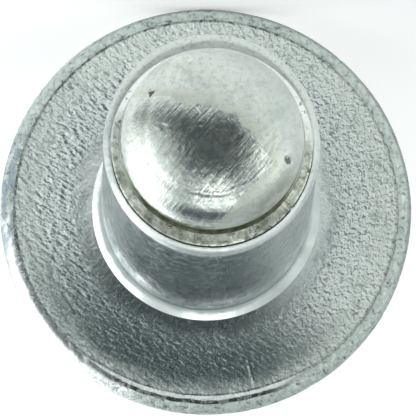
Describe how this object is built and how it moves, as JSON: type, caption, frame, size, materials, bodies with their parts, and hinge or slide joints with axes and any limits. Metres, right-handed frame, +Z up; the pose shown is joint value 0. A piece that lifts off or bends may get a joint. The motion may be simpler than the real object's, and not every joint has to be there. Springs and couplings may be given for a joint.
{
  "type": "blind rivet",
  "caption": "Unset open-end blind rivet: an aluminium shell with a round domed flange on a steel mandrel, whose rounded head seats on the shank's end.",
  "frame": {"origin": "centre of the bearing face under the flange, on the rivet's own axis", "axes": "+Z up as the rivet lies on a table on its rim and its tail, the stem's tail towards +Y, the blind end with the mandrel's head towards -Y and raised 7.98 degrees"},
  "size_m": [0.0094, 0.0357, 0.0095],
  "materials": {
    "shell_aluminium": "matt, with a fine pebbled grain on the bearing face and a smooth bright rim",
    "mandrel_steel": "smooth zinc plate, slightly warm, with drawing marks and small dents on the head"
  },
  "bodies": {
    "root": {"rivet_shell": "shell_aluminium", "mandrel": "mandrel_steel"}
  },
  "joints": []
}
